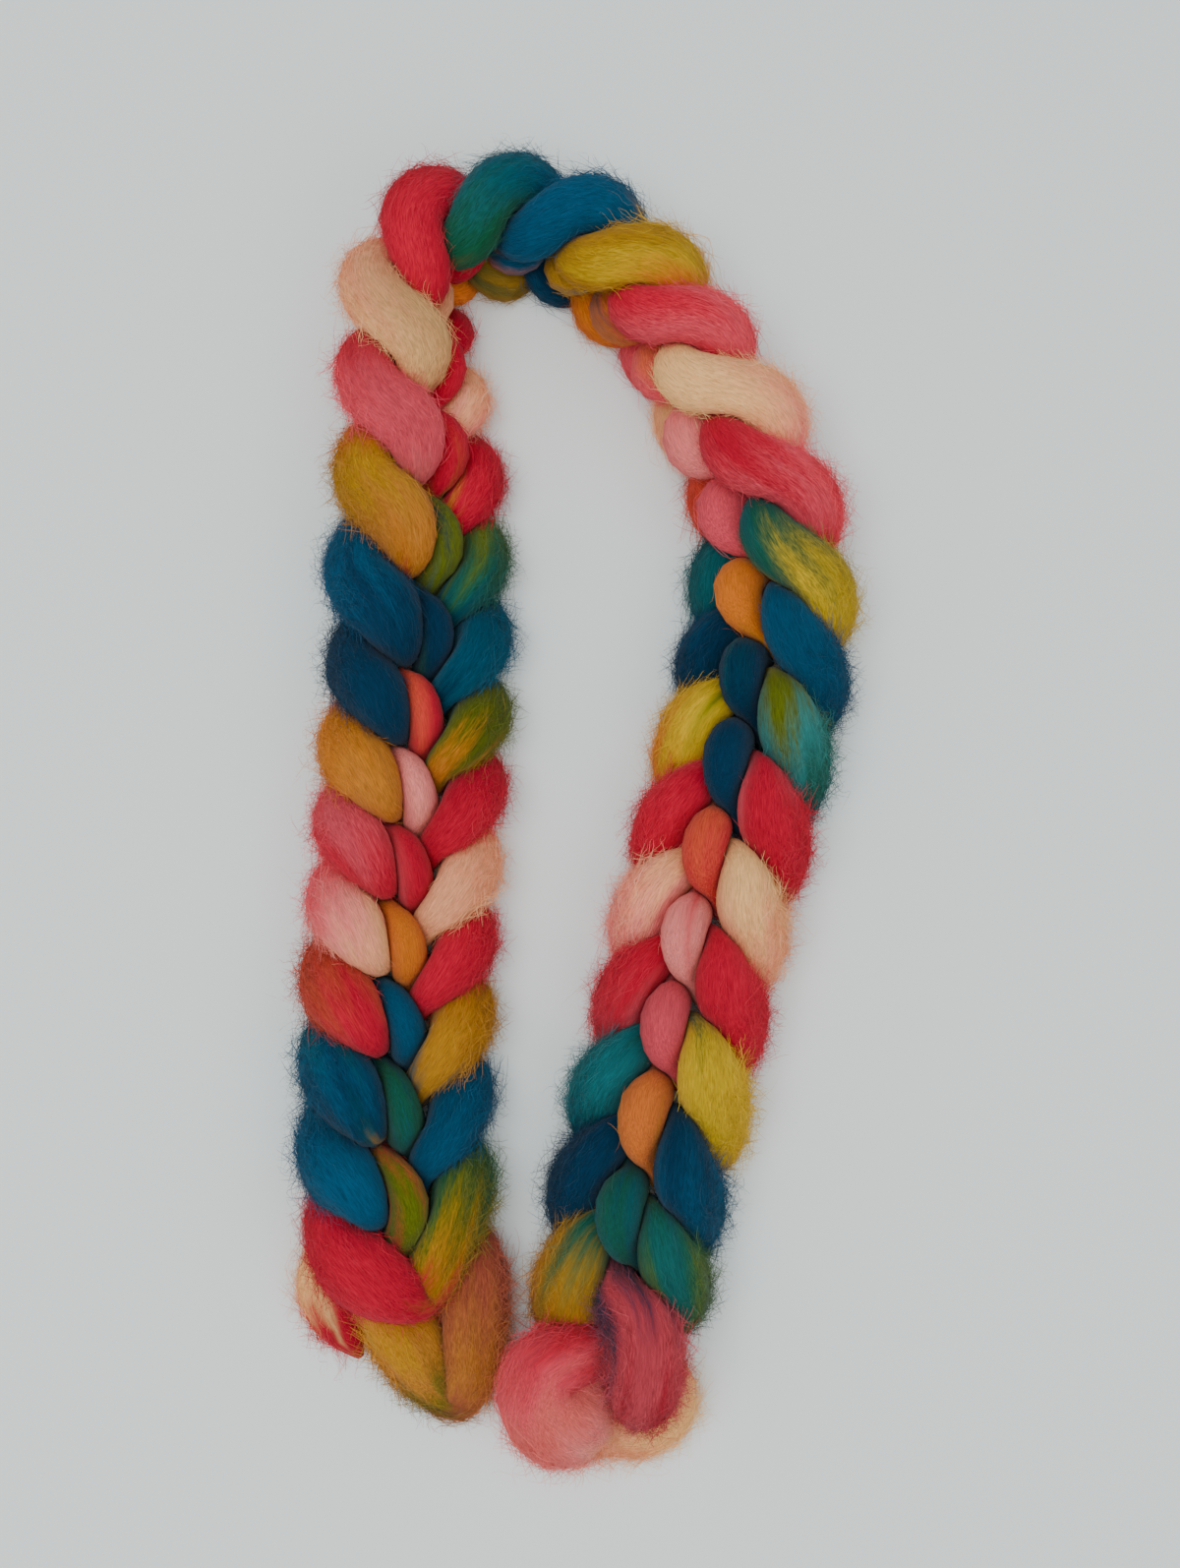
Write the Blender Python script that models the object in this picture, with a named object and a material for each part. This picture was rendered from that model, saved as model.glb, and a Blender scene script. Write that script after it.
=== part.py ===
"""Braid of wool roving: one strand of combed wool top, looped by hand into a chain and laid on a table as an arch.

The strand is one solid. Its centre line is the real path of a hand-made chain: a wrapped start, then 28 loops, each
pulled through the loop before it, then a last open loop and the loose tail. Each loop goes

    inner leg (under the head before it, out to the edge, over the top) -> head -> outer leg -> down through the
    opening of the loop before it -> bar across that loop's head -> down through its own opening -> next loop.

The soft strand is let settle against itself and the table, and its cross-section is then grown until it meets its
neighbours, so that every turn is pressed to the shape that the turns around it leave. Lengths here are millimetres,
and the mesh is written in metres.
"""

import bpy
import bmesh
import numpy as np
from math import cos, pi, radians, sin

MM = 0.001

# ---- where each loop lies on the table: middle x, middle y, and the roll of the chain there in degrees -------------
LOOPS = (
    (16.5, -155.8, 8), (22.4, -126.1, 8), (30.7, -95.4, 8), (36.6, -66.0, 8), (43.9, -37.0, 8), (50.8, -8.2, 8),
    (58.4, 21.5, 10), (64.0, 49.2, 24), (63.7, 78.6, 45), (58.4, 108.8, 66), (42.9, 136.9, 75), (30.0, 160.0, 80),
    (11.5, 179.2, 80), (-8.0, 192.1, 80), (-31.1, 193.3, 80), (-51.2, 184.4, 78), (-55.1, 162.0, 75),
    (-53.8, 133.3, 62), (-52.5, 102.6, 45), (-53.8, 71.2, 30), (-54.8, 41.9, 18), (-56.8, 15.5, 8), (-58.1, -10.6, 8),
    (-59.7, -36.3, 8), (-61.4, -61.7, 8), (-61.4, -88.1, 8), (-61.7, -117.2, 8), (-58.7, -144.2, 8),
)

# ---- one loop: advance in pitches, sideways (inner side negative), height, free radius, pressed radius ---------------
INNER_LEG = (
    (0.00, -3.5, -5.0, 14.0, 4.5),  # base, in the opening of the loop before
    (0.22, -10.0, -11.0, 14.0, 5.0),  # under the head before
    (0.50, -16.5, -6.5, 14.0, 6.5),  # out at the edge
    (0.90, -15.5, 2.5, 14.0, 7.5),  # up and over
    (1.28, -11.3, 5.5, 13.5, 7.2),
    (1.60, -7.0, 1.0, 12.0, 5.0),  # neck
)
HEAD = (1.76, -1.5, -3.0, 14.0, 4.0)
OUTER_LEG = (
    (1.62, 3.0, 5.5, 12.5, 5.0),
    (1.28, 7.0, 11.5, 15.5, 7.5),
    (0.90, 12.5, 6.0, 15.0, 7.5),
    (0.50, 16.0, -6.0, 14.0, 6.5),
    (0.22, 9.5, -11.0, 14.0, 5.0),
    (0.00, 3.5, -5.0, 14.0, 4.5),
)
# Over to the next loop, high enough to lie on the inner leg and to tuck under the outer one.
BAR = ((0.28, -1.0, 3.5, 12.0, 4.5), (0.60, -4.5, 8.5, 21.0, 6.0), (0.84, -4.0, 5.5, 19.0, 5.0))
ONE_LOOP = INNER_LEG + (HEAD,) + OUTER_LEG + BAR
LEAD_AT = 14.0  # an outer leg this far out runs ahead by the whole of OUTER_LEAD
OUTER_LEAD = (0.07, 0.36)  # how far the outer legs run ahead of the inner ones: on the first arm, on the second
WIDER, FLATTER = 1.08, 0.82  # the strand spreads sideways under its own weight

CHAIN_MIDDLE = 18.5  # height of the chain's middle above the table, lying flat
ROLLED_RISE = 5.0  # how much higher the middle is where the chain lies on its edge

# ---- the wrapped start, the first bar over it, and the tail: x, y, height, free radius, pressed radius ---------------
SQUASHED = 0.5  # how much of a loop's height is lost where the chain stands on its side
ARM_WIDTH = (0.91, 1.06)  # how wide the loops lie: on the first arm, on the second
BAR_SUNK = 3.5  # how much lower the bars sit on the second arm
WRAP = (
    (24.1, -181.5, 9, 9, 7), (28.7, -192.1, 12, 10, 8), (24.8, -205.3, 11, 11, 8), (16.2, -209.2, 9, 9.5, 6),
    (8.2, -203.9, 11, 13, 8), (1.7, -198.7, 17, 20, 11), (-5.0, -194.0, 23, 22.5, 13), (-9.6, -191.4, 27, 21, 12),
    (-12.9, -188.8, 30, 14, 9),
)
FIRST_BAR = (
    (25.4, -176.2, 9, 12, 7), (22.8, -190.7, 9, 11, 6), (19.5, -199.3, 21, 10.5, 6), (21.4, -187.4, 37, 11.5, 7),
    (22.8, -168.3, 36, 11.5, 7),
)
TAIL = (
    (-57.8, -148.5, 21, 10, 6), (-47.2, -156.4, 8, 12, 7), (-39.9, -145.9, 11, 12, 7.5), (-36.0, -161.0, 15, 12, 8),
    (-36.0, -178.9, 15, 11.5, 7.5), (-38.0, -194.7, 12, 9, 6), (-39.9, -203.9, 8, 6, 4.5), (-45.2, -195.4, 9, 8, 6),
    (-51.2, -184.1, 14, 13, 8), (-59.1, -170.3, 17, 17, 8.5), (-65.0, -159.1, 13, 14, 7), (-74.2, -151.8, 9, 12, 7),
    (-81.5, -152.5, 12, 11.5, 8.5), (-82.2, -165.0, 11, 10, 8), (-76.9, -177.5, 9, 9, 7), (-72.3, -186.8, 7, 7, 6),
)

# ---- how the strand settles and is skinned ---------------------------------------------------------------------------
SETTLE_STEP = 8.0  # spacing of the points that settle
SETTLE_ROUNDS = 160
HELD = 0.22  # how firmly it is held where it was laid
PATH_STEP = 3.0
RINGS = 484
SIDES = 10
GAP = 0.7  # left between one turn and the next, so that the solid stays one clean skin
RESTS_BY = 2.2  # how much of the underside is pressed flat on the table


def through(points, f, i):
    """A point of the smooth curve through the rows of an array, a part f of the way from row i to the next."""
    a, b, c, d = (points[min(max(j, 0), len(points) - 1)] for j in (i - 1, i, i + 1, i + 2))
    return 0.5 * (2 * b + (c - a) * f + (2 * a - 5 * b + 4 * c - d) * f**2 + (3 * b - a - 3 * c + d) * f**3)


def smooth(points, parts):
    rows = [through(points, q / parts, i) for i in range(len(points) - 1) for q in range(parts)]
    return np.array(rows + [points[-1]])


def lengths(points):
    return np.r_[0, np.cumsum(np.linalg.norm(np.diff(points[:, :3], axis=0), axis=1))]


def evenly(points, step):
    along = lengths(points)
    at = np.linspace(0, along[-1], int(round(along[-1] / step)) + 1)
    return np.array([np.interp(at, along, column) for column in points.T]).T


def chain_table():
    """The loops' places, run on by two loops at each end. Row j is at j - 1 pitches."""
    rows = np.array(LOOPS, float)
    before = 2 * rows[0] - rows[1]
    after = 2 * rows[-1] - rows[-2]
    return np.vstack([2 * before - rows[0], before, rows, after, 2 * after - rows[-1]])


def on_chain(table, pitches, sideways, height):
    """A point beside the chain's middle line, turned with the chain's roll."""

    def at(u):
        u = min(max(u + 1, 0.0), len(table) - 1.001)
        return through(table, u - int(u), int(u))

    here = at(pitches)
    ahead = (at(pitches + 0.02) - at(pitches - 0.02))[:2]
    ahead = ahead / np.linalg.norm(ahead)
    out = np.array([ahead[1], -ahead[0], 0.0])
    roll = radians(here[2])
    height *= 1 - (SQUASHED * sin(roll) if height > 0 else 0)
    middle = np.array([here[0], here[1], CHAIN_MIDDLE + ROLLED_RISE * sin(roll)])
    rise = sideways * sin(roll) + height * cos(roll)
    return middle + out * (sideways * cos(roll) - height * sin(roll)) + np.array([0, 0, rise])


def strand_points():
    """The strand's centre line in order, as rows of x, y, z, free radius, pressed radius."""
    table = chain_table()
    points = list(WRAP)
    for number in range(len(LOOPS)):
        last = 11 if number == 0 else len(ONE_LOOP)
        turned = min(max((number - 9) / 7, 0.0), 1.0)
        lead = (OUTER_LEAD[0] + (OUTER_LEAD[1] - OUTER_LEAD[0]) * turned) / LEAD_AT
        wide = ARM_WIDTH[0] + (ARM_WIDTH[1] - ARM_WIDTH[0]) * turned
        for step, (u, v, w, free, core) in enumerate(ONE_LOOP[:last]):
            if step >= len(ONE_LOOP) - len(BAR):
                w, free = w - BAR_SUNK * turned, free * (1 - 0.15 * turned)
            points.append((*on_chain(table, number + u + lead * v, v * wide, w), free, core))
        if number == 0:
            points += FIRST_BAR
    return np.array(points + list(TAIL), float)


def settle(strand):
    """Lets the strand ease its bends and press against itself and the table, held loosely where it was laid."""
    at, goal, core = strand[:, :3].copy(), strand[:, :3].copy(), strand[:, 4]
    order = np.arange(len(at))
    reach = core[:, None] + core[None, :]
    other_turn = np.abs(order[:, None] - order[None, :]) * SETTLE_STEP > 1.426 * reach + 8
    for _ in range(SETTLE_ROUNDS):
        pull = np.zeros_like(at)
        pull[1:-1] = 0.5 * (at[:-2] + at[2:]) - at[1:-1]
        stiff = np.zeros_like(at)
        stiff[1:-1] = pull[1:-1] - 0.5 * (pull[:-2] + pull[2:])
        at = at + 0.10 * pull + 0.30 * stiff
        at = at + HELD * (goal - at)
        apart = at[:, None, :] - at[None, :, :]
        far = np.sqrt((apart**2).sum(-1)) + 1e-9
        over = np.where(other_turn, np.maximum(reach - far, 0.0), 0.0)
        push = (apart * (over / far)[..., None]).sum(1)
        at = at + 0.45 * push / np.sqrt(np.maximum((over > 0).sum(1), 1))[:, None]
        at[:, 2] = np.maximum(at[:, 2], 0.92 * core)
    settled = strand.copy()
    settled[:, :3] = at
    return settled


def carried_frames(at):
    """Directions along the strand and across it, carried on without twist."""
    along = np.gradient(at, axis=0)
    along /= np.linalg.norm(along, axis=1)[:, None]
    across = np.zeros_like(at)
    across[0] = np.array([0, 0, 1.0]) - along[0] * along[0][2]
    across[0] /= np.linalg.norm(across[0])
    for i in range(1, len(at)):
        across[i] = across[i - 1] - along[i] * (across[i - 1] @ along[i])
        across[i] /= np.linalg.norm(across[i])
    return along, across, np.cross(along, across)


def pressed_sections(path, ring_at, sides, gap, rounds=3):
    """The strand's skin: at each ring, every direction grows to the free radius or to the plane shared with the next
    turn, whichever is nearer, and never through the table."""
    at, free = path[:, :3], path[:, 3]
    along, across, up = carried_frames(at)
    arc = lengths(path)
    bend = np.gradient(along, axis=0) / np.gradient(arc)[:, None]
    angle = np.arange(sides) * 2 * pi / sides
    spokes = np.cos(angle)[None, :, None] * across[ring_at][:, None, :]
    spokes = spokes + np.sin(angle)[None, :, None] * up[ring_at][:, None, :]
    spread = 1 / np.sqrt((1 - spokes[..., 2] ** 2) / WIDER**2 + spokes[..., 2] ** 2 / FLATTER**2)
    to_end = np.minimum(arc[ring_at], arc[-1] - arc[ring_at])
    rounded = 1 - (1 - np.clip(to_end / (1.1 * free[ring_at]), 0, 1)) ** 2
    radius = (free[ring_at] * np.sqrt(np.clip(rounded, 0.02, 1)))[:, None] * spread
    for m, i in enumerate(ring_at):
        inward = spokes[m] @ bend[i]
        radius[m] = np.minimum(radius[m], np.where(inward > 1e-4, 0.92 / np.maximum(inward, 1e-4), 1e9))
        to = at - at[i]
        far = np.linalg.norm(to, axis=1)
        near = (np.abs(arc - arc[i]) > 1.15 * (free[i] + free)) & (far < 2 * free[i] + 24)
        if near.any():
            share = free[i] / (free[i] + free[near])
            plane = np.maximum(share * far[near] - gap / 2, 0.15 * far[near])
            facing = spokes[m] @ (to[near] / far[near][:, None]).T
            meets = np.where(facing > 0.02, plane[None, :] / np.maximum(facing, 0.02), 1e9)
            radius[m] = np.minimum(radius[m], meets.min(1))
        down = -spokes[m][:, 2]
        radius[m] = np.minimum(radius[m], np.where(down > 0.02, at[i, 2] / np.maximum(down, 0.02), 1e9))
    radius = np.maximum(radius, 1.2)
    most = radius.copy()
    for _ in range(rounds):
        around = np.roll(radius, 1, 1) + np.roll(radius, -1, 1)
        next_rings = np.vstack([radius[:1], radius[:-1]]) + np.vstack([radius[1:], radius[-1:]])
        radius = np.minimum(most, 0.5 * radius + 0.125 * around + 0.125 * next_rings)
    skin = at[ring_at][:, None, :] + radius[..., None] * spokes
    skin[..., 2] = np.maximum(skin[..., 2] - RESTS_BY, 0.0)
    return skin


def ring_places(path, count):
    """Which points of the path carry a ring: closer together where the strand bends more."""
    along = carried_frames(path[:, :3])[0]
    turn = np.r_[0, np.arccos(np.clip((along[1:] * along[:-1]).sum(1), -1, 1))]
    step = np.r_[0, np.linalg.norm(np.diff(path[:, :3], axis=0), axis=1)]
    weight = np.cumsum(step / 12.0 + turn / 0.55)
    return np.unique(np.searchsorted(weight, np.linspace(0, weight[-1], count)).clip(0, len(path) - 1))


def wool_material():
    material = bpy.data.materials.new("wool")
    material.use_nodes = True
    shader = material.node_tree.nodes["Principled BSDF"]
    shader.inputs["Base Color"].default_value = (0.50, 0.10, 0.12, 1)
    shader.inputs["Roughness"].default_value = 0.95
    shader.inputs["Sheen Weight"].default_value = 0.4
    return material


def build():
    for obj in list(bpy.data.objects):
        bpy.data.objects.remove(obj, do_unlink=True)
    collection = bpy.data.collections.new("roving_braid")
    bpy.context.scene.collection.children.link(collection)

    strand = settle(evenly(smooth(strand_points(), 12), SETTLE_STEP))
    path = evenly(smooth(strand, 4), PATH_STEP)
    skin = pressed_sections(path, ring_places(path, RINGS), SIDES, GAP)
    low, high = skin.reshape(-1, 3).min(0), skin.reshape(-1, 3).max(0)
    skin = (skin - [(low[0] + high[0]) / 2, (low[1] + high[1]) / 2, low[2]]) * MM

    # Loft from ring to ring: no two of the pressed sections are alike.
    bm = bmesh.new()
    rings = [[bm.verts.new(corner) for corner in ring] for ring in skin]
    for here, there in zip(rings, rings[1:]):
        for j in range(SIDES):
            k = (j + 1) % SIDES
            bm.faces.new((here[j], here[k], there[k], there[j]))
    bm.faces.new(reversed(rings[0]))
    bm.faces.new(rings[-1])
    bmesh.ops.recalc_face_normals(bm, faces=bm.faces)
    bmesh.ops.triangulate(bm, faces=bm.faces)
    mesh = bpy.data.meshes.new("roving_braid")
    bm.to_mesh(mesh)
    bm.free()
    mesh.materials.append(wool_material())
    braid = bpy.data.objects.new("roving_braid", mesh)
    collection.objects.link(braid)


build()
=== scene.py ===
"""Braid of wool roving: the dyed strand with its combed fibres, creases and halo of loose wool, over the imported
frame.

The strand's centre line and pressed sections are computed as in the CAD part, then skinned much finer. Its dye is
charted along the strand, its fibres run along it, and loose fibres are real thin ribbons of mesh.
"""

import bpy
import numpy as np
from math import cos, pi, radians, sin
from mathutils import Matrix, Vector


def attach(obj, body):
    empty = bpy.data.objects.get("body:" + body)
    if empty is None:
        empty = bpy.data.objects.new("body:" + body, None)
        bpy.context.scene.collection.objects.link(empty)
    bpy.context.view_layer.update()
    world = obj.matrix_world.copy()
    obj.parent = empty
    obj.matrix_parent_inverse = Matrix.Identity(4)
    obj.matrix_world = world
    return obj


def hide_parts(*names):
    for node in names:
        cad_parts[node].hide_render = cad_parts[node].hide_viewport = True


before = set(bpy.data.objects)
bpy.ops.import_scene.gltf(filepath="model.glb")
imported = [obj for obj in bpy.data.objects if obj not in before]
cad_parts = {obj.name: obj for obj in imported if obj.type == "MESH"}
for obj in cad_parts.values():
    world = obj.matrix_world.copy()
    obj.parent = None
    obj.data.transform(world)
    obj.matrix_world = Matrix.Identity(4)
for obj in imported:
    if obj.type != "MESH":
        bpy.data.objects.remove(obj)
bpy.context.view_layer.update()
MM = 0.001

# ---- where each loop lies on the table: middle x, middle y, and the roll of the chain there in degrees -------------
LOOPS = (
    (16.5, -155.8, 8), (22.4, -126.1, 8), (30.7, -95.4, 8), (36.6, -66.0, 8), (43.9, -37.0, 8), (50.8, -8.2, 8),
    (58.4, 21.5, 10), (64.0, 49.2, 24), (63.7, 78.6, 45), (58.4, 108.8, 66), (42.9, 136.9, 75), (30.0, 160.0, 80),
    (11.5, 179.2, 80), (-8.0, 192.1, 80), (-31.1, 193.3, 80), (-51.2, 184.4, 78), (-55.1, 162.0, 75),
    (-53.8, 133.3, 62), (-52.5, 102.6, 45), (-53.8, 71.2, 30), (-54.8, 41.9, 18), (-56.8, 15.5, 8), (-58.1, -10.6, 8),
    (-59.7, -36.3, 8), (-61.4, -61.7, 8), (-61.4, -88.1, 8), (-61.7, -117.2, 8), (-58.7, -144.2, 8),
)

# ---- one loop: advance in pitches, sideways (inner side negative), height, free radius, pressed radius ---------------
INNER_LEG = (
    (0.00, -3.5, -5.0, 14.0, 4.5),  # base, in the opening of the loop before
    (0.22, -10.0, -11.0, 14.0, 5.0),  # under the head before
    (0.50, -16.5, -6.5, 14.0, 6.5),  # out at the edge
    (0.90, -15.5, 2.5, 14.0, 7.5),  # up and over
    (1.28, -11.3, 5.5, 13.5, 7.2),
    (1.60, -7.0, 1.0, 12.0, 5.0),  # neck
)
HEAD = (1.76, -1.5, -3.0, 14.0, 4.0)
OUTER_LEG = (
    (1.62, 3.0, 5.5, 12.5, 5.0),
    (1.28, 7.0, 11.5, 15.5, 7.5),
    (0.90, 12.5, 6.0, 15.0, 7.5),
    (0.50, 16.0, -6.0, 14.0, 6.5),
    (0.22, 9.5, -11.0, 14.0, 5.0),
    (0.00, 3.5, -5.0, 14.0, 4.5),
)
# Over to the next loop, high enough to lie on the inner leg and to tuck under the outer one.
BAR = ((0.28, -1.0, 3.5, 12.0, 4.5), (0.60, -4.5, 8.5, 21.0, 6.0), (0.84, -4.0, 5.5, 19.0, 5.0))
ONE_LOOP = INNER_LEG + (HEAD,) + OUTER_LEG + BAR
LEAD_AT = 14.0  # an outer leg this far out runs ahead by the whole of OUTER_LEAD
OUTER_LEAD = (0.07, 0.36)  # how far the outer legs run ahead of the inner ones: on the first arm, on the second
WIDER, FLATTER = 1.08, 0.82  # the strand spreads sideways under its own weight

CHAIN_MIDDLE = 18.5  # height of the chain's middle above the table, lying flat
ROLLED_RISE = 5.0  # how much higher the middle is where the chain lies on its edge

# ---- the wrapped start, the first bar over it, and the tail: x, y, height, free radius, pressed radius ---------------
SQUASHED = 0.5  # how much of a loop's height is lost where the chain stands on its side
ARM_WIDTH = (0.91, 1.06)  # how wide the loops lie: on the first arm, on the second
BAR_SUNK = 3.5  # how much lower the bars sit on the second arm
WRAP = (
    (24.1, -181.5, 9, 9, 7), (28.7, -192.1, 12, 10, 8), (24.8, -205.3, 11, 11, 8), (16.2, -209.2, 9, 9.5, 6),
    (8.2, -203.9, 11, 13, 8), (1.7, -198.7, 17, 20, 11), (-5.0, -194.0, 23, 22.5, 13), (-9.6, -191.4, 27, 21, 12),
    (-12.9, -188.8, 30, 14, 9),
)
FIRST_BAR = (
    (25.4, -176.2, 9, 12, 7), (22.8, -190.7, 9, 11, 6), (19.5, -199.3, 21, 10.5, 6), (21.4, -187.4, 37, 11.5, 7),
    (22.8, -168.3, 36, 11.5, 7),
)
TAIL = (
    (-57.8, -148.5, 21, 10, 6), (-47.2, -156.4, 8, 12, 7), (-39.9, -145.9, 11, 12, 7.5), (-36.0, -161.0, 15, 12, 8),
    (-36.0, -178.9, 15, 11.5, 7.5), (-38.0, -194.7, 12, 9, 6), (-39.9, -203.9, 8, 6, 4.5), (-45.2, -195.4, 9, 8, 6),
    (-51.2, -184.1, 14, 13, 8), (-59.1, -170.3, 17, 17, 8.5), (-65.0, -159.1, 13, 14, 7), (-74.2, -151.8, 9, 12, 7),
    (-81.5, -152.5, 12, 11.5, 8.5), (-82.2, -165.0, 11, 10, 8), (-76.9, -177.5, 9, 9, 7), (-72.3, -186.8, 7, 7, 6),
)

# ---- how the strand settles and is skinned ---------------------------------------------------------------------------
SETTLE_STEP = 8.0  # spacing of the points that settle
SETTLE_ROUNDS = 160
HELD = 0.22  # how firmly it is held where it was laid
PATH_STEP = 3.0
RINGS = 484
SIDES = 10
GAP = 0.7  # left between one turn and the next, so that the solid stays one clean skin
RESTS_BY = 2.2  # how much of the underside is pressed flat on the table


def through(points, f, i):
    """A point of the smooth curve through the rows of an array, a part f of the way from row i to the next."""
    a, b, c, d = (points[min(max(j, 0), len(points) - 1)] for j in (i - 1, i, i + 1, i + 2))
    return 0.5 * (2 * b + (c - a) * f + (2 * a - 5 * b + 4 * c - d) * f**2 + (3 * b - a - 3 * c + d) * f**3)


def smooth(points, parts):
    rows = [through(points, q / parts, i) for i in range(len(points) - 1) for q in range(parts)]
    return np.array(rows + [points[-1]])


def lengths(points):
    return np.r_[0, np.cumsum(np.linalg.norm(np.diff(points[:, :3], axis=0), axis=1))]


def evenly(points, step):
    along = lengths(points)
    at = np.linspace(0, along[-1], int(round(along[-1] / step)) + 1)
    return np.array([np.interp(at, along, column) for column in points.T]).T


def chain_table():
    """The loops' places, run on by two loops at each end. Row j is at j - 1 pitches."""
    rows = np.array(LOOPS, float)
    before = 2 * rows[0] - rows[1]
    after = 2 * rows[-1] - rows[-2]
    return np.vstack([2 * before - rows[0], before, rows, after, 2 * after - rows[-1]])


def on_chain(table, pitches, sideways, height):
    """A point beside the chain's middle line, turned with the chain's roll."""

    def at(u):
        u = min(max(u + 1, 0.0), len(table) - 1.001)
        return through(table, u - int(u), int(u))

    here = at(pitches)
    ahead = (at(pitches + 0.02) - at(pitches - 0.02))[:2]
    ahead = ahead / np.linalg.norm(ahead)
    out = np.array([ahead[1], -ahead[0], 0.0])
    roll = radians(here[2])
    height *= 1 - (SQUASHED * sin(roll) if height > 0 else 0)
    middle = np.array([here[0], here[1], CHAIN_MIDDLE + ROLLED_RISE * sin(roll)])
    rise = sideways * sin(roll) + height * cos(roll)
    return middle + out * (sideways * cos(roll) - height * sin(roll)) + np.array([0, 0, rise])


def strand_points():
    """The strand's centre line in order, as rows of x, y, z, free radius, pressed radius."""
    table = chain_table()
    points = list(WRAP)
    for number in range(len(LOOPS)):
        last = 11 if number == 0 else len(ONE_LOOP)
        turned = min(max((number - 9) / 7, 0.0), 1.0)
        lead = (OUTER_LEAD[0] + (OUTER_LEAD[1] - OUTER_LEAD[0]) * turned) / LEAD_AT
        wide = ARM_WIDTH[0] + (ARM_WIDTH[1] - ARM_WIDTH[0]) * turned
        for step, (u, v, w, free, core) in enumerate(ONE_LOOP[:last]):
            if step >= len(ONE_LOOP) - len(BAR):
                w, free = w - BAR_SUNK * turned, free * (1 - 0.15 * turned)
            points.append((*on_chain(table, number + u + lead * v, v * wide, w), free, core))
        if number == 0:
            points += FIRST_BAR
    return np.array(points + list(TAIL), float)


def settle(strand):
    """Lets the strand ease its bends and press against itself and the table, held loosely where it was laid."""
    at, goal, core = strand[:, :3].copy(), strand[:, :3].copy(), strand[:, 4]
    order = np.arange(len(at))
    reach = core[:, None] + core[None, :]
    other_turn = np.abs(order[:, None] - order[None, :]) * SETTLE_STEP > 1.426 * reach + 8
    for _ in range(SETTLE_ROUNDS):
        pull = np.zeros_like(at)
        pull[1:-1] = 0.5 * (at[:-2] + at[2:]) - at[1:-1]
        stiff = np.zeros_like(at)
        stiff[1:-1] = pull[1:-1] - 0.5 * (pull[:-2] + pull[2:])
        at = at + 0.10 * pull + 0.30 * stiff
        at = at + HELD * (goal - at)
        apart = at[:, None, :] - at[None, :, :]
        far = np.sqrt((apart**2).sum(-1)) + 1e-9
        over = np.where(other_turn, np.maximum(reach - far, 0.0), 0.0)
        push = (apart * (over / far)[..., None]).sum(1)
        at = at + 0.45 * push / np.sqrt(np.maximum((over > 0).sum(1), 1))[:, None]
        at[:, 2] = np.maximum(at[:, 2], 0.92 * core)
    settled = strand.copy()
    settled[:, :3] = at
    return settled


def carried_frames(at):
    """Directions along the strand and across it, carried on without twist."""
    along = np.gradient(at, axis=0)
    along /= np.linalg.norm(along, axis=1)[:, None]
    across = np.zeros_like(at)
    across[0] = np.array([0, 0, 1.0]) - along[0] * along[0][2]
    across[0] /= np.linalg.norm(across[0])
    for i in range(1, len(at)):
        across[i] = across[i - 1] - along[i] * (across[i - 1] @ along[i])
        across[i] /= np.linalg.norm(across[i])
    return along, across, np.cross(along, across)


def pressed_sections(path, ring_at, sides, gap, rounds=3):
    """The strand's skin: at each ring, every direction grows to the free radius or to the plane shared with the next
    turn, whichever is nearer, and never through the table."""
    at, free = path[:, :3], path[:, 3]
    along, across, up = carried_frames(at)
    arc = lengths(path)
    bend = np.gradient(along, axis=0) / np.gradient(arc)[:, None]
    angle = np.arange(sides) * 2 * pi / sides
    spokes = np.cos(angle)[None, :, None] * across[ring_at][:, None, :]
    spokes = spokes + np.sin(angle)[None, :, None] * up[ring_at][:, None, :]
    spread = 1 / np.sqrt((1 - spokes[..., 2] ** 2) / WIDER**2 + spokes[..., 2] ** 2 / FLATTER**2)
    to_end = np.minimum(arc[ring_at], arc[-1] - arc[ring_at])
    rounded = 1 - (1 - np.clip(to_end / (1.1 * free[ring_at]), 0, 1)) ** 2
    radius = (free[ring_at] * np.sqrt(np.clip(rounded, 0.02, 1)))[:, None] * spread
    for m, i in enumerate(ring_at):
        inward = spokes[m] @ bend[i]
        radius[m] = np.minimum(radius[m], np.where(inward > 1e-4, 0.92 / np.maximum(inward, 1e-4), 1e9))
        to = at - at[i]
        far = np.linalg.norm(to, axis=1)
        near = (np.abs(arc - arc[i]) > 1.15 * (free[i] + free)) & (far < 2 * free[i] + 24)
        if near.any():
            share = free[i] / (free[i] + free[near])
            plane = np.maximum(share * far[near] - gap / 2, 0.15 * far[near])
            facing = spokes[m] @ (to[near] / far[near][:, None]).T
            meets = np.where(facing > 0.02, plane[None, :] / np.maximum(facing, 0.02), 1e9)
            radius[m] = np.minimum(radius[m], meets.min(1))
        down = -spokes[m][:, 2]
        radius[m] = np.minimum(radius[m], np.where(down > 0.02, at[i, 2] / np.maximum(down, 0.02), 1e9))
    radius = np.maximum(radius, 1.2)
    most = radius.copy()
    for _ in range(rounds):
        around = np.roll(radius, 1, 1) + np.roll(radius, -1, 1)
        next_rings = np.vstack([radius[:1], radius[:-1]]) + np.vstack([radius[1:], radius[-1:]])
        radius = np.minimum(most, 0.5 * radius + 0.125 * around + 0.125 * next_rings)
    skin = at[ring_at][:, None, :] + radius[..., None] * spokes
    skin[..., 2] = np.maximum(skin[..., 2] - RESTS_BY, 0.0)
    return skin


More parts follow.
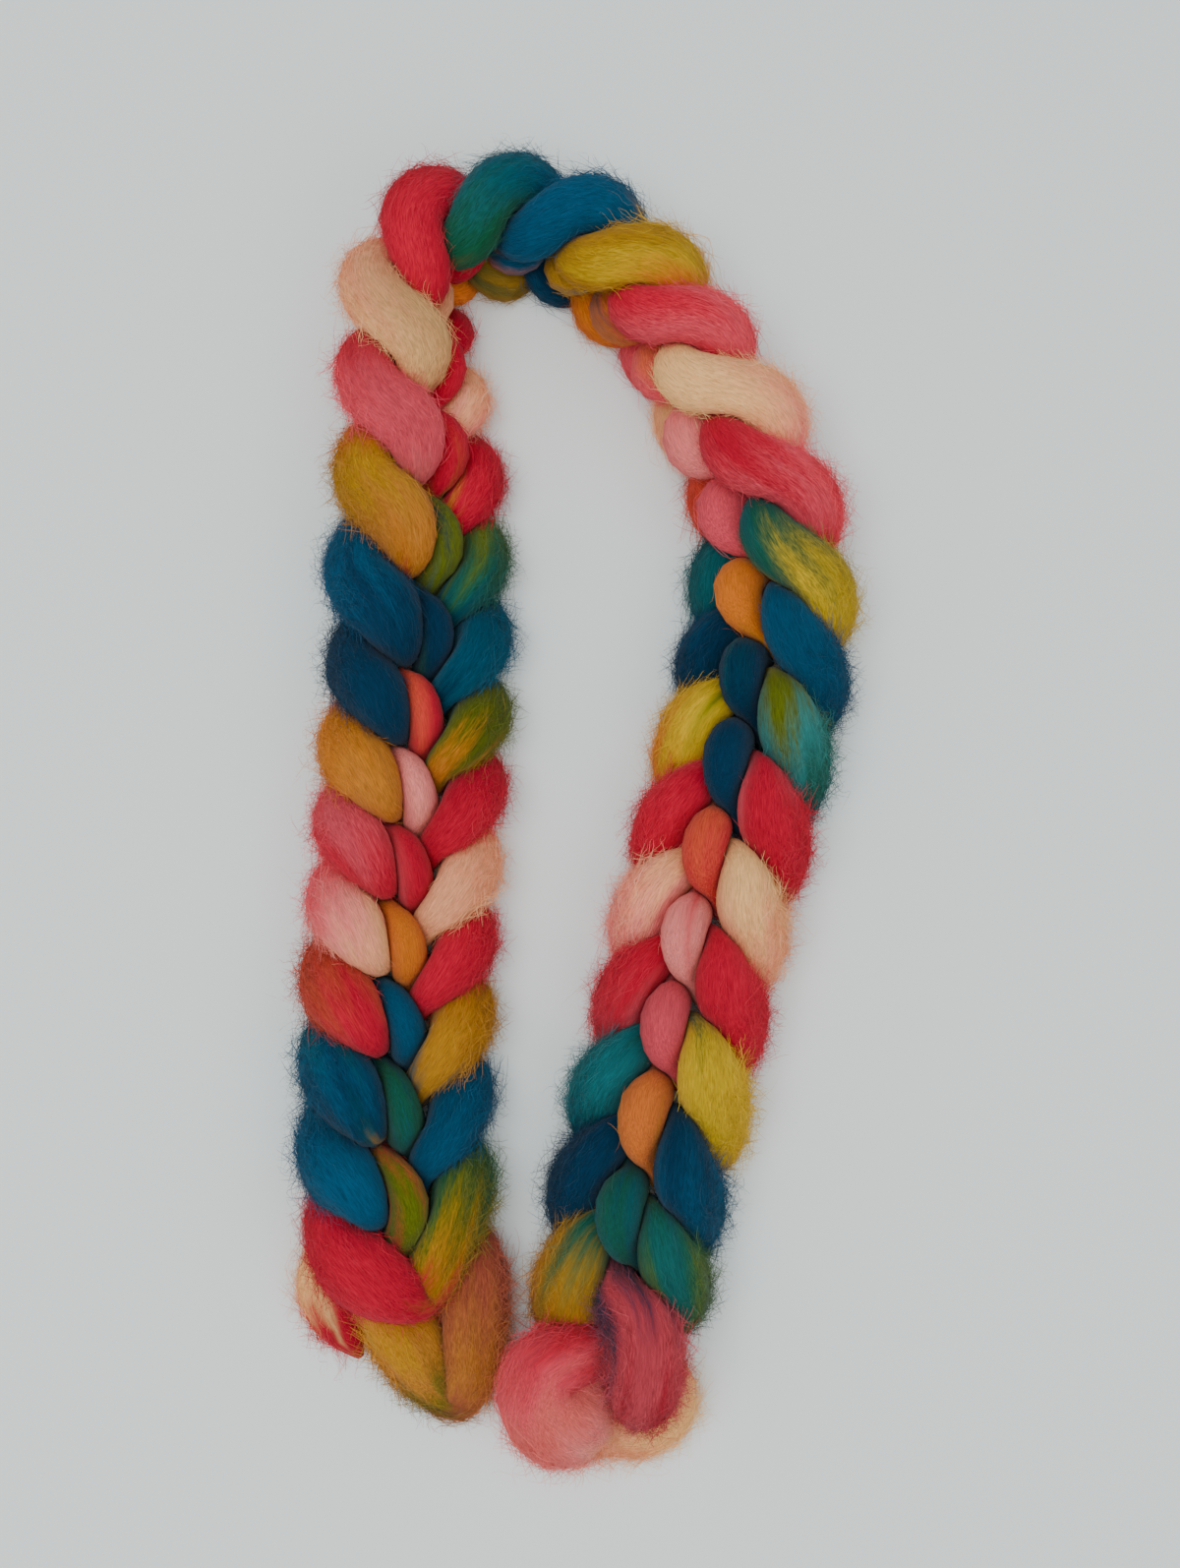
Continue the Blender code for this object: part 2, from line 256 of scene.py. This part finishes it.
def ring_places(path, count):
    """Which points of the path carry a ring: closer together where the strand bends more."""
    along = carried_frames(path[:, :3])[0]
    turn = np.r_[0, np.arccos(np.clip((along[1:] * along[:-1]).sum(1), -1, 1))]
    step = np.r_[0, np.linalg.norm(np.diff(path[:, :3], axis=0), axis=1)]
    weight = np.cumsum(step / 12.0 + turn / 0.55)
    return np.unique(np.searchsorted(weight, np.linspace(0, weight[-1], count)).clip(0, len(path) - 1))


# ---- the dye, charted along the strand: (loop number, ((step in the loop, colour), ...)) -----------------------------
# Steps in a loop: 0 base, 1 under, 2 edge, 3 top of the inner leg, 4 and 5 head, 6 top of the outer leg, 7 edge,
# 8 under, 9 base, 10 bar. Colours are linear.
DYES = {
    "blue": (0.0025, 0.064, 0.130),
    "navy": (0.0025, 0.030, 0.068),
    "teal": (0.004, 0.090, 0.100),
    "green": (0.006, 0.090, 0.042),
    "olive": (0.110, 0.135, 0.006),
    "mustard": (0.430, 0.215, 0.006),
    "yellow": (0.560, 0.360, 0.010),
    "orange": (0.620, 0.160, 0.014),
    "coral": (0.600, 0.062, 0.034),
    "crimson": (0.500, 0.007, 0.030),
    "pink": (0.660, 0.070, 0.098),
    "rose": (0.400, 0.045, 0.060),
    "lightpink": (0.800, 0.220, 0.200),
    "peach": (0.880, 0.370, 0.190),
    "cream": (0.900, 0.500, 0.195),
    "rust": (0.330, 0.068, 0.040),
    "ochre": (0.480, 0.175, 0.026),
    "azure": (0.003, 0.098, 0.170),
    "salmon": (0.660, 0.118, 0.104),
    "brick": (0.430, 0.050, 0.024),
    "amber": (0.560, 0.190, 0.012),
    "gold": (0.400, 0.178, 0.010),
    "turquoise": (0.008, 0.140, 0.155),
    "aqua": (0.024, 0.190, 0.185),
    "copper": (0.500, 0.125, 0.022),
}
WRAP_DYE = ((-9, "cream"), (-6.4, "cream"), (-5.2, "peach"), (-4.4, "peach"), (-3.6, "lightpink"), (-2.4, "salmon"),
            (-1.5, "salmon"), (-0.7, "pink"))
LOOP_DYE = (
    ((0.6, "crimson"), (1.4, "rust"), (2.2, "ochre"), (3, "mustard"), (4, "green"), (5, "teal"), (6, "green"),
     (6.6, "olive"), (7.2, "blue"), (7.8, "navy"), (8.3, "crimson"), (9.0, "crimson"), (9.6, "rose"), (10, "pink"), (10.6, "rose")),
    ((0, "navy"), (3, "navy"), (5, "navy"), (7, "blue"), (9, "teal"), (10, "teal"), (10.6, "green")),
    ((1, "blue"), (1.8, "teal"), (2.6, "turquoise"), (3.5, "teal"), (4.2, "green"), (5.1, "yellow"), (7, "yellow"),
     (8.8, "mustard"), (9.5, "copper"), (10.6, "copper")),
    ((0.8, "pink"), (1.8, "pink"), (2.8, "crimson"), (5, "crimson"), (7, "crimson"), (8.2, "pink"), (9, "pink"),
     (10.5, "pink")),
    ((1, "pink"), (2.5, "lightpink"), (3.5, "peach"), (5, "cream"), (5.8, "cream"), (6.8, "peach"), (9, "peach"),
     (9.6, "lightpink"), (10.6, "lightpink")),
    ((1, "crimson"), (4, "crimson"), (5.2, "pink"), (6.1, "crimson"), (9.3, "crimson"), (9.8, "crimson"),
     (10.3, "coral"), (10.7, "coral")),
    ((1, "orange"), (2, "orange"), (3, "yellow"), (4, "yellow"), (5, "olive"), (6, "olive"), (6.5, "aqua"),
     (7, "aqua"), (7.6, "green"), (8.8, "blue"), (10, "navy")),
    ((1, "navy"), (3, "navy"), (5, "blue"), (7, "blue"), (9, "navy"), (10.5, "navy")),
    ((1, "teal"), (3, "teal"), (5, "teal"), (6, "green"), (7, "yellow"), (8.5, "yellow"), (9.5, "orange"),
     (10.5, "orange")),
    ((1, "coral"), (3, "coral"), (4.6, "crimson"), (5.6, "crimson"), (6.6, "pink"), (7.4, "crimson"), (8.4, "pink"),
     (10.5, "pink")),
    ((1, "pink"), (3, "peach"), (5, "cream"), (6, "cream"), (7.5, "peach"), (9, "lightpink")),
    ((1, "pink"), (3, "pink"), (5, "crimson"), (6, "crimson"), (7, "pink"), (8.5, "crimson"), (10, "pink")),
    ((1, "orange"), (3, "orange"), (5, "mustard"), (6, "mustard"), (7, "yellow"), (8.5, "orange"), (10, "orange")),
    ((1, "navy"), (3, "navy"), (5, "blue"), (7, "blue"), (9, "blue"), (10, "mustard")),
    ((1, "mustard"), (3, "mustard"), (5, "green"), (6, "green"), (7, "teal"), (8.5, "blue"), (10, "blue")),
    ((1, "orange"), (3, "orange"), (4.8, "orange"), (5.4, "crimson"), (7, "crimson"), (9, "crimson"),
     (10, "crimson")),
    ((1, "crimson"), (3, "crimson"), (4.3, "crimson"), (5.3, "cream"), (6, "cream"), (7.5, "peach"), (9, "peach"),
     (10, "peach")),
    ((1, "peach"), (3, "peach"), (4.5, "lightpink"), (5.5, "pink"), (7, "pink"), (8.5, "crimson"), (10, "crimson")),
    ((1, "crimson"), (3, "crimson"), (4.2, "crimson"), (4.8, "amber"), (6, "ochre"), (6.8, "mustard"),
     (7.6, "mustard"), (8.6, "crimson"), (9.4, "crimson"), (10.6, "crimson")),
    ((0.6, "olive"), (2.4, "olive"), (3.2, "green"), (3.9, "teal"), (4.3, "navy"), (6, "navy"), (7, "blue"),
     (7.6, "blue"), (8.6, "navy"), (9.4, "olive"), (10.6, "olive")),
    ((0.8, "azure"), (3, "azure"), (3.8, "azure"), (4.3, "navy"), (5, "navy"), (7.6, "navy"), (8.4, "navy"),
     (10.6, "navy")),
    ((0.8, "green"), (2, "green"), (3, "olive"), (3.9, "olive"), (4.4, "amber"), (5.4, "ochre"), (6.4, "amber"),
     (7.4, "amber"), (8.6, "coral"), (9.4, "coral"), (9.9, "coral"), (10.5, "crimson")),
    ((0.8, "crimson"), (3.9, "crimson"), (5.5, "crimson"), (6.6, "pink"), (7.6, "pink"), (8.6, "lightpink"),
     (9.4, "lightpink"), (10.6, "lightpink")),
    ((0.8, "peach"), (3.6, "peach"), (4.4, "cream"), (5.6, "peach"), (6.5, "lightpink"), (7.4, "pink"),
     (9.4, "pink"), (10.6, "crimson")),
    ((0.6, "crimson"), (3, "crimson"), (5.2, "crimson"), (6, "brick"), (7.4, "brick"), (8.6, "orange"),
     (9.4, "orange"), (10.6, "orange")),
    ((0.6, "gold"), (3.7, "gold"), (4.1, "teal"), (4.8, "navy"), (6, "blue"), (7.2, "teal"), (7.8, "teal"),
     (8.6, "blue"), (9.4, "blue"), (10.6, "blue")),
    ((0.6, "blue"), (3, "blue"), (7, "blue"), (8.6, "blue"), (9.4, "green"), (9.9, "green"), (10.5, "teal")),
    ((0.6, "green"), (2.4, "green"), (3.2, "olive"), (3.9, "gold"), (4.2, "gold"), (4.6, "crimson"), (6.5, "crimson"),
     (8.4, "crimson"), (9.2, "coral"), (9.6, "coral"), (9.95, "olive"), (10.7, "olive")),
    ((0, "olive"), (0.8, "crimson"), (1.7, "rust"), (3, "rust"), (5, "ochre"), (6, "rust"), (7, "olive"), (8, "ochre"),
     (9, "mustard"), (9.8, "ochre"), (10.8, "cream"), (13.0, "cream"), (13.6, "crimson"), (15, "crimson")),
)

PER_LOOP = 11.0
LOOP_STEPS = (0, 1, 2, 2.7, 3.4, 4.1, 4.5, 4.9, 5.6, 6.3, 7, 8, 9, 9.7, 10.1, 10.4)
FINE_SIDES = 48
rng = np.random.default_rng(7)


def stations():
    """Where each point of the strand stands in the chain: loop number plus step / 11."""
    marks = [(j - len(WRAP)) / PER_LOOP for j in range(len(WRAP))]
    for number in range(len(LOOPS)):
        marks += [number + j / PER_LOOP for j in LOOP_STEPS[: 11 if number == 0 else 16]]
        if number == 0:
            marks += [step / PER_LOOP for step in (8.0, 8.8, 9.3, 9.8, 10.4)]
    return np.array(marks + [len(LOOPS) + j / PER_LOOP for j in range(len(TAIL))])


def dye_at(mark):
    """The dye's colour at each station."""
    stops = [(step / PER_LOOP, DYES[name]) for step, name in WRAP_DYE]
    for number, chart in enumerate(LOOP_DYE):
        stops += [(number + step / PER_LOOP, DYES[name]) for step, name in chart]
    places = np.array([stop[0] for stop in stops])
    colours = np.array([stop[1] for stop in stops])
    return np.stack([np.interp(mark, places, colours[:, k]) for k in range(3)], axis=-1)


def soft_field(rows, columns, along, around):
    """Smooth random values on the strand's skin, of spread 1: smoothed along it and round it, with no seam."""
    field = np.fft.fft2(rng.standard_normal((rows, columns)))
    a = np.fft.fftfreq(rows)[:, None] * along
    b = np.fft.fftfreq(columns)[None, :] * around
    field = np.real(np.fft.ifft2(field * np.exp(-2 * (pi**2) * (a**2 + b**2))))
    return field / field.std()


# ---- the strand ------------------------------------------------------------------------------------------------------
laid = np.hstack([strand_points(), stations()[:, None]])
strand = settle(evenly(smooth(laid, 12), SETTLE_STEP))
path = evenly(smooth(strand, 4), PATH_STEP)
coarse = pressed_sections(path, ring_places(path, RINGS), SIDES, GAP)
low, high = coarse.reshape(-1, 3).min(0), coarse.reshape(-1, 3).max(0)
ORIGIN = np.array([(low[0] + high[0]) / 2, (low[1] + high[1]) / 2, low[2]])

# The bars of the second arm are the softest part of the chain: they spread a little over their neighbours.
step_now = (path[:, 5] % 1) * PER_LOOP
spread = np.clip((step_now - 9.2) / 0.4, 0, 1) * np.clip((10.9 - step_now) / 0.4, 0, 1)
spread *= np.clip((path[:, 5] - 17.5) * 2, 0, 1) * (path[:, 5] < 28)
path[:, 4] *= 1 + 0.45 * spread
path[:, 3] *= 1 + 0.12 * spread
ring_at = np.arange(len(path))
skin = pressed_sections(path, ring_at, FINE_SIDES, 0.15, rounds=26)
n_rings = len(ring_at)


def skin_normals(grid):
    down = np.gradient(grid, axis=0)
    round_ = np.roll(grid, -1, 1) - np.roll(grid, 1, 1)
    normal = np.cross(round_, down)
    normal /= np.linalg.norm(normal, axis=2)[..., None] + 1e-12
    outward = grid - path[ring_at, :3][:, None, :]
    return normal * np.sign((normal * outward).sum(2) + 1e-12)[..., None]


normals = skin_normals(skin)
centre = path[ring_at, :3]
free = path[ring_at, 3]
openness = np.clip(np.linalg.norm(skin - centre[:, None, :], axis=2) / free[:, None], 0, 1)
ridges = soft_field(n_rings, FINE_SIDES, 9, 0.9) * 0.22 + soft_field(n_rings, FINE_SIDES, 16, 2.2) * 0.30
lumps = soft_field(n_rings, FINE_SIDES, 5, 6) * 0.35
relief = (ridges + lumps) * np.clip(openness * 1.6 - 0.5, 0, 1)
# The tail is folded flat and creased; the knot is wound smooth.
creased = np.clip((path[ring_at, 5] - 28.3) * 4, 0, 1)[:, None]
relief = relief * (1 + 0.8 * creased) + creased * soft_field(n_rings, FINE_SIDES, 14, 1.6) * 0.55
relief[:4] *= 0
relief[-4:] *= 0
skin = skin + normals * relief[..., None]
skin[..., 2] = np.maximum(skin[..., 2], 0.0)
skin = skin - ORIGIN
normals = skin_normals(skin + ORIGIN)

arc = lengths(path)[ring_at]
mark = path[ring_at, 5]
angle = np.arange(FINE_SIDES) * 2 * pi / FINE_SIDES

# The dye reaches further along some locks of fibre than others.
slip = soft_field(n_rings, FINE_SIDES, 12, 2.0) * 0.030 + soft_field(n_rings, FINE_SIDES, 20, 0.8) * 0.022
dye_a = dye_at(mark[:, None] + slip - 0.024)
dye_b = dye_at(mark[:, None] + slip + 0.024)
depth_of_dye = 1 + 0.10 * soft_field(n_rings, FINE_SIDES, 6, 4)[..., None]
dye_a = np.clip(dye_a * depth_of_dye, 0, 1)
dye_b = np.clip(dye_b * depth_of_dye, 0, 1)


def add_attribute(mesh, name, kind, values):
    layer = mesh.attributes.new(name, kind, "POINT")
    if kind == "FLOAT_COLOR":
        layer.data.foreach_set("color", np.c_[values, np.ones(len(values))].astype(np.float32).ravel())
    elif kind == "FLOAT_VECTOR":
        layer.data.foreach_set("vector", np.asarray(values, np.float32).ravel())
    else:
        layer.data.foreach_set("value", np.asarray(values, np.float32).ravel())


def new_piece(name, points, faces, material):
    mesh = bpy.data.meshes.new(name)
    mesh.from_pydata([tuple(p) for p in points], [], faces)
    mesh.update()
    mesh.shade_smooth()
    mesh.materials.append(material)
    piece = bpy.data.objects.new(name, mesh)
    bpy.context.scene.collection.objects.link(piece)
    return piece


# ---- materials -------------------------------------------------------------------------------------------------------
def node(tree, kind, **settings):
    made = tree.nodes.new(kind)
    for key, value in settings.items():
        setattr(made, key, value)
    return made


def wool_surface():
    material = bpy.data.materials.new("dyed_wool")
    material.use_nodes = True
    tree = material.node_tree
    shader = tree.nodes["Principled BSDF"]
    link = tree.links.new
    shader.inputs["Roughness"].default_value = 0.92
    shader.inputs["Specular IOR Level"].default_value = 0.04
    shader.inputs["Sheen Weight"].default_value = 0.08
    shader.inputs["Sheen Roughness"].default_value = 0.45
    shader.inputs["Subsurface Weight"].default_value = 0.12
    shader.inputs["Subsurface Radius"].default_value = (1.0, 0.7, 0.6)
    shader.inputs["Subsurface Scale"].default_value = 0.0022

    fibre = node(tree, "ShaderNodeAttribute", attribute_name="fibre")
    a = node(tree, "ShaderNodeAttribute", attribute_name="dye_a")
    b = node(tree, "ShaderNodeAttribute", attribute_name="dye_b")

    def streaks(across, along, detail, warp=None):
        scale = node(tree, "ShaderNodeVectorMath", operation="MULTIPLY")
        scale.inputs[1].default_value = (across, across, along)
        link(fibre.outputs["Vector"], scale.inputs[0])
        noise = node(tree, "ShaderNodeTexNoise")
        noise.inputs["Scale"].default_value = 1.0
        noise.inputs["Detail"].default_value = detail
        noise.inputs["Roughness"].default_value = 0.6
        if warp is None:
            link(scale.outputs["Vector"], noise.inputs["Vector"])
        else:
            bent = node(tree, "ShaderNodeVectorMath", operation="ADD")
            link(scale.outputs["Vector"], bent.inputs[0])
            link(warp, bent.inputs[1])
            link(bent.outputs["Vector"], noise.inputs["Vector"])
        return noise.outputs["Fac"]

    wander = node(tree, "ShaderNodeTexNoise")
    wander_scale = node(tree, "ShaderNodeVectorMath", operation="MULTIPLY")
    wander_scale.inputs[1].default_value = (120, 120, 60)
    link(fibre.outputs["Vector"], wander_scale.inputs[0])
    link(wander_scale.outputs["Vector"], wander.inputs["Vector"])
    wander.inputs["Scale"].default_value = 1.0
    waved = node(tree, "ShaderNodeVectorMath", operation="SCALE")
    waved.inputs["Scale"].default_value = 2.6
    link(wander.outputs["Color"], waved.inputs[0])

    lock = streaks(560, 52, 3.0, waved.outputs["Vector"])
    fine = streaks(2200, 420, 4.0, waved.outputs["Vector"])

    which = node(tree, "ShaderNodeMapRange")
    which.inputs["From Min"].default_value = 0.38
    which.inputs["From Max"].default_value = 0.62
    blend_in = node(tree, "ShaderNodeMath", operation="ADD")
    half = node(tree, "ShaderNodeMath", operation="MULTIPLY")
    half.inputs[1].default_value = 0.55
    link(fine, half.inputs[0])
    rest = node(tree, "ShaderNodeMath", operation="MULTIPLY")
    rest.inputs[1].default_value = 0.45
    link(lock, rest.inputs[0])
    link(half.outputs[0], blend_in.inputs[0])
    link(rest.outputs[0], blend_in.inputs[1])
    link(blend_in.outputs[0], which.inputs["Value"])
    dye = node(tree, "ShaderNodeMix", data_type="RGBA")
    link(which.outputs["Result"], dye.inputs["Factor"])
    link(a.outputs["Color"], dye.inputs[6])
    link(b.outputs["Color"], dye.inputs[7])

    light = node(tree, "ShaderNodeMapRange")
    light.inputs["From Min"].default_value = 0.30
    light.inputs["From Max"].default_value = 0.70
    light.inputs["To Min"].default_value = 0.66
    light.inputs["To Max"].default_value = 1.34
    link(fine, light.inputs["Value"])
    shade = node(tree, "ShaderNodeVectorMath", operation="SCALE")
    link(dye.outputs[2], shade.inputs[0])
    link(light.outputs["Result"], shade.inputs["Scale"])
    link(shade.outputs["Vector"], shader.inputs["Base Color"])

    bump_fine = node(tree, "ShaderNodeBump")
    bump_fine.inputs["Strength"].default_value = 0.85
    bump_fine.inputs["Distance"].default_value = 0.0005
    link(fine, bump_fine.inputs["Height"])
    bump_lock = node(tree, "ShaderNodeBump")
    bump_lock.inputs["Strength"].default_value = 0.35
    bump_lock.inputs["Distance"].default_value = 0.0011
    link(lock, bump_lock.inputs["Height"])
    link(bump_fine.outputs["Normal"], bump_lock.inputs["Normal"])
    link(bump_lock.outputs["Normal"], shader.inputs["Normal"])
    return material


def fibre_surface():
    material = bpy.data.materials.new("loose_fibre")
    material.use_nodes = True
    tree = material.node_tree
    shader = tree.nodes["Principled BSDF"]
    shader.inputs["Roughness"].default_value = 0.75
    shader.inputs["Specular IOR Level"].default_value = 0.05
    shader.inputs["Sheen Weight"].default_value = 0.05
    # The dye attribute holds each fibre's dye with its painted sheen, lighter than the skin the fibre starts from.
    colour = node(tree, "ShaderNodeAttribute", attribute_name="dye")
    noise = node(tree, "ShaderNodeTexNoise")
    noise.inputs["Scale"].default_value = 300.0
    place = node(tree, "ShaderNodeTexCoord")
    tree.links.new(place.outputs["Object"], noise.inputs["Vector"])
    light = node(tree, "ShaderNodeMapRange")
    light.inputs["To Min"].default_value = 0.8
    light.inputs["To Max"].default_value = 1.2
    tree.links.new(noise.outputs["Fac"], light.inputs["Value"])
    shade = node(tree, "ShaderNodeVectorMath", operation="SCALE")
    tree.links.new(colour.outputs["Color"], shade.inputs[0])
    tree.links.new(light.outputs["Result"], shade.inputs["Scale"])
    tree.links.new(shade.outputs["Vector"], shader.inputs["Base Color"])
    return material


# ---- the strand's mesh -----------------------------------------------------------------------------------------------
wool = wool_surface()
points = skin.reshape(-1, 3) * MM
faces = []
for i in range(n_rings - 1):
    here, there = i * FINE_SIDES, (i + 1) * FINE_SIDES
    for j in range(FINE_SIDES):
        k = (j + 1) % FINE_SIDES
        faces.append((here + j, here + k, there + k, there + j))
first, last = len(points), len(points) + 1
points = np.vstack([points, points[:FINE_SIDES].mean(0), points[-FINE_SIDES:].mean(0)])
top = (n_rings - 1) * FINE_SIDES
for j in range(FINE_SIDES):
    k = (j + 1) % FINE_SIDES
    faces.append((first, k, j))
    faces.append((last, top + j, top + k))
corner = points[np.array([(f[0], f[1], f[2]) for f in faces])]
if np.einsum("ij,ij->i", corner[:, 0], np.cross(corner[:, 1], corner[:, 2])).sum() < 0:
    faces = [tuple(reversed(f)) for f in faces]
braid = new_piece("dyed_strand", points, faces, wool)
around = np.stack([np.cos(angle)[None, :] * free[:, None], np.sin(angle)[None, :] * free[:, None]], axis=-1)
fibre = np.concatenate([around, np.repeat(arc[:, None], FINE_SIDES, 1)[..., None]], axis=2).reshape(-1, 3) * MM
fibre = np.vstack([fibre, fibre[0], fibre[-1]])
add_attribute(braid.data, "fibre", "FLOAT_VECTOR", fibre)
for name, values in (("dye_a", dye_a), ("dye_b", dye_b)):
    flat = values.reshape(-1, 3)
    add_attribute(braid.data, name, "FLOAT_COLOR", np.vstack([flat, flat[0], flat[-1]]))
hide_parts("roving_braid")
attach(braid, "root")


# ---- loose fibres ----------------------------------------------------------------------------------------------------
def at_grid(grid, i, j):
    """The grid's value between its rings and sides."""
    i = np.clip(i, 0, n_rings - 1.001)
    i0, j0 = np.floor(i).astype(int), np.floor(j).astype(int)
    fi, fj = (i - i0)[..., None], (j - j0)[..., None]
    ja, jb = j0 % FINE_SIDES, (j0 + 1) % FINE_SIDES
    return (grid[i0, ja] * (1 - fi) + grid[i0 + 1, ja] * fi) * (1 - fj) + (
        grid[i0, jb] * (1 - fi) + grid[i0 + 1, jb] * fi
    ) * fj


above_table = skin[..., 2] > 1.5
above_table[:3] = above_table[-3:] = False
nearly_all = np.clip((openness - 0.50) / 0.25, 0, 1) * above_table
outermost = np.clip((openness - 0.76) / 0.16, 0, 1) * above_table
dye_mid = 0.5 * (dye_a + dye_b)
fibre_wool = fibre_surface()


def loose(name, count, parts, length, lift, stray, width, wave, where):
    """Loose fibres: each starts on the skin, runs along it, and comes away from it, more the further it has run."""
    root = rng.choice(where.size, size=count, p=where.ravel() / where.sum())
    i0 = root // FINE_SIDES + rng.random(count)
    j0 = root % FINE_SIDES + rng.random(count)
    way = rng.choice([-1.0, 1.0], size=count)
    size = rng.uniform(*length, size=count) * rng.uniform(0.6, 1.0, size=count)
    t = np.linspace(0, 1, parts + 1)[None, :]
    run = size[:, None] * t
    drift = rng.normal(0, 0.55, size=count)[:, None] * run / 6.0
    i = i0[:, None] + way[:, None] * run / PATH_STEP
    j = j0[:, None] + drift
    on_skin = at_grid(skin, i, j)
    out = at_grid(normals, i, j)
    out0 = out[:, :1]
    heading = on_skin[:, 1:2] - on_skin[:, :1]
    heading /= np.linalg.norm(heading, axis=2)[..., None] + 1e-9
    side = np.cross(out0, heading)
    side /= np.linalg.norm(side, axis=2)[..., None] + 1e-9
    leave = rng.normal(0, 1, size=(count, 1, 1))
    straight = on_skin[:, :1] + run[..., None] * (0.8 * heading + 0.35 * leave * side)
    away = np.clip(rng.beta(*stray, size=count), 0, 1)[:, None, None] * (t**1.2)[..., None]
    spine = on_skin * (1 - away) + straight * away
    rise = rng.uniform(*lift, size=count)[:, None] * t**1.5 + 0.05
    spine = spine + out * rise[..., None]
    for turns in (1.0, 2.3):
        phase = rng.uniform(0, 2 * pi, size=(count, 1))
        swing = np.sin(2 * pi * turns * t + phase) - np.sin(phase)
        spine = spine + side * (wave * swing * size[:, None] / 14 / turns)[..., None]
        swing = np.sin(2 * pi * turns * 0.8 * t + phase * 1.7) - np.sin(phase * 1.7)
        spine = spine + out * (0.5 * wave * np.maximum(swing, 0) * size[:, None] / 14 / turns)[..., None]
    spine[..., 2] = np.maximum(spine[..., 2], 0.15)
    step = np.gradient(spine, axis=1)
    flat = np.cross(step, rng.normal(0, 1, size=(count, 1, 3)))
    flat /= np.linalg.norm(flat, axis=2)[..., None] + 1e-9
    half = (width * rng.uniform(0.7, 1.3, size=(count, 1)) * (1 - 0.75 * t**3) / 2)[..., None]
    ribbon = np.stack([spine - flat * half, spine + flat * half], axis=2)
    n = parts + 1
    base = (np.arange(count) * n * 2)[:, None] + (np.arange(parts) * 2)[None, :]
    quads = np.stack([base, base + 1, base + 3, base + 2], axis=-1).reshape(-1, 4)
    piece = new_piece(name, ribbon.reshape(-1, 3) * MM, quads.tolist(), fibre_wool)
    dye_with_painted_sheen = at_grid(dye_mid, i0[:, None], j0[:, None])[:, 0]
    # Each loose fibre takes the dye where it starts, varied at random per fibre, lightened on the whole and with a
    # little white added: a painted sheen for the light the thin fibres catch.
    dye_with_painted_sheen = np.clip(dye_with_painted_sheen * rng.uniform(0.90, 1.50, size=(count, 1)) + rng.uniform(0.0, 0.030, size=(count, 1)), 0, 1)
    add_attribute(piece.data, "dye", "FLOAT_COLOR", np.repeat(dye_with_painted_sheen, n * 2, axis=0))
    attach(piece, "root")
    return piece


loose("fuzz_short", 32000, 3, (3.0, 8.0), (0.8, 3.4), (1.4, 1.1), 0.115, 1.8, nearly_all)
loose("fuzz_more", 26000, 3, (3.0, 7.0), (0.4, 2.4), (1.0, 1.4), 0.115, 1.8, nearly_all)
loose("fuzz_halo", 24000, 4, (5.0, 11.0), (2.4, 7.0), (1.8, 1.0), 0.15, 2.4, outermost)
loose("fibres_combed", 14000, 7, (7.0, 16.0), (0.2, 1.4), (0.8, 2.2), 0.10, 2.4, outermost)
loose("fibres_stray", 3000, 12, (9.0, 22.0), (2.5, 7.2), (2.2, 1.0), 0.12, 3.0, outermost)

# ---- floor, light and camera -----------------------------------------------------------------------------------------
def plain(name, colour):
    material = bpy.data.materials.new(name)
    material.use_nodes = True
    shader = material.node_tree.nodes["Principled BSDF"]
    shader.inputs["Base Color"].default_value = (*colour, 1)
    shader.inputs["Roughness"].default_value = 0.85
    shader.inputs["Specular IOR Level"].default_value = 0.1
    return material


mesh = bpy.data.meshes.new("floor")
mesh.from_pydata([(-3, -3, 0), (3, -3, 0), (3, 3, 0), (-3, 3, 0)], [], [(0, 1, 2, 3)])
floor = bpy.data.objects.new("floor", mesh)
floor.location.z = -0.0002
mesh.materials.append(plain("pale_table", (0.885, 0.95, 0.945)))
bpy.context.scene.collection.objects.link(floor)

world = bpy.data.worlds.new("soft_room")
bpy.context.scene.world = world
world.use_nodes = True
world.node_tree.nodes["Background"].inputs["Color"].default_value = (0.97, 1.0, 1.0, 1)
world.node_tree.nodes["Background"].inputs["Strength"].default_value = 0.55


def area(name, place, aim, size, power):
    light = bpy.data.lights.new(name, "AREA")
    light.shape = "DISK"
    light.size = size
    light.energy = power
    lamp = bpy.data.objects.new(name, light)
    lamp.location = place
    lamp.rotation_euler = (Vector(aim) - Vector(place)).to_track_quat("-Z", "Y").to_euler()
    bpy.context.scene.collection.objects.link(lamp)


area("overhead", (-0.30, -0.10, 1.5), (0, -0.03, 0), 1.2, 15)
area("fill", (0.9, -0.8, 1.3), (0, 0, 0), 1.2, 5)

# The camera looks straight down on the middle of the frame, as a phone is held over a table.
HEIGHT = 0.60
FRAME_W, FRAME_H = 1200, 1594
MM_PER_PIXEL = 0.33
camera = bpy.data.cameras.new("camera")
eye = bpy.data.objects.new("camera", camera)
middle_x = (FRAME_W / 2 - 587) * MM_PER_PIXEL
middle_y = (808 - FRAME_H / 2) * MM_PER_PIXEL
look_at = Vector((middle_x - ORIGIN[0], middle_y - ORIGIN[1], 22.0)) * MM
tilt = radians(90 - 84)
eye.location = look_at + Vector((0, -sin(tilt), cos(tilt))) * HEIGHT
eye.rotation_euler = (look_at - eye.location).to_track_quat("-Z", "Y").to_euler()
camera.sensor_width = 36.0  # on the long side
camera.lens = 36.0 * HEIGHT / (FRAME_H * MM_PER_PIXEL * MM)
bpy.context.scene.collection.objects.link(eye)
bpy.context.scene.camera = eye
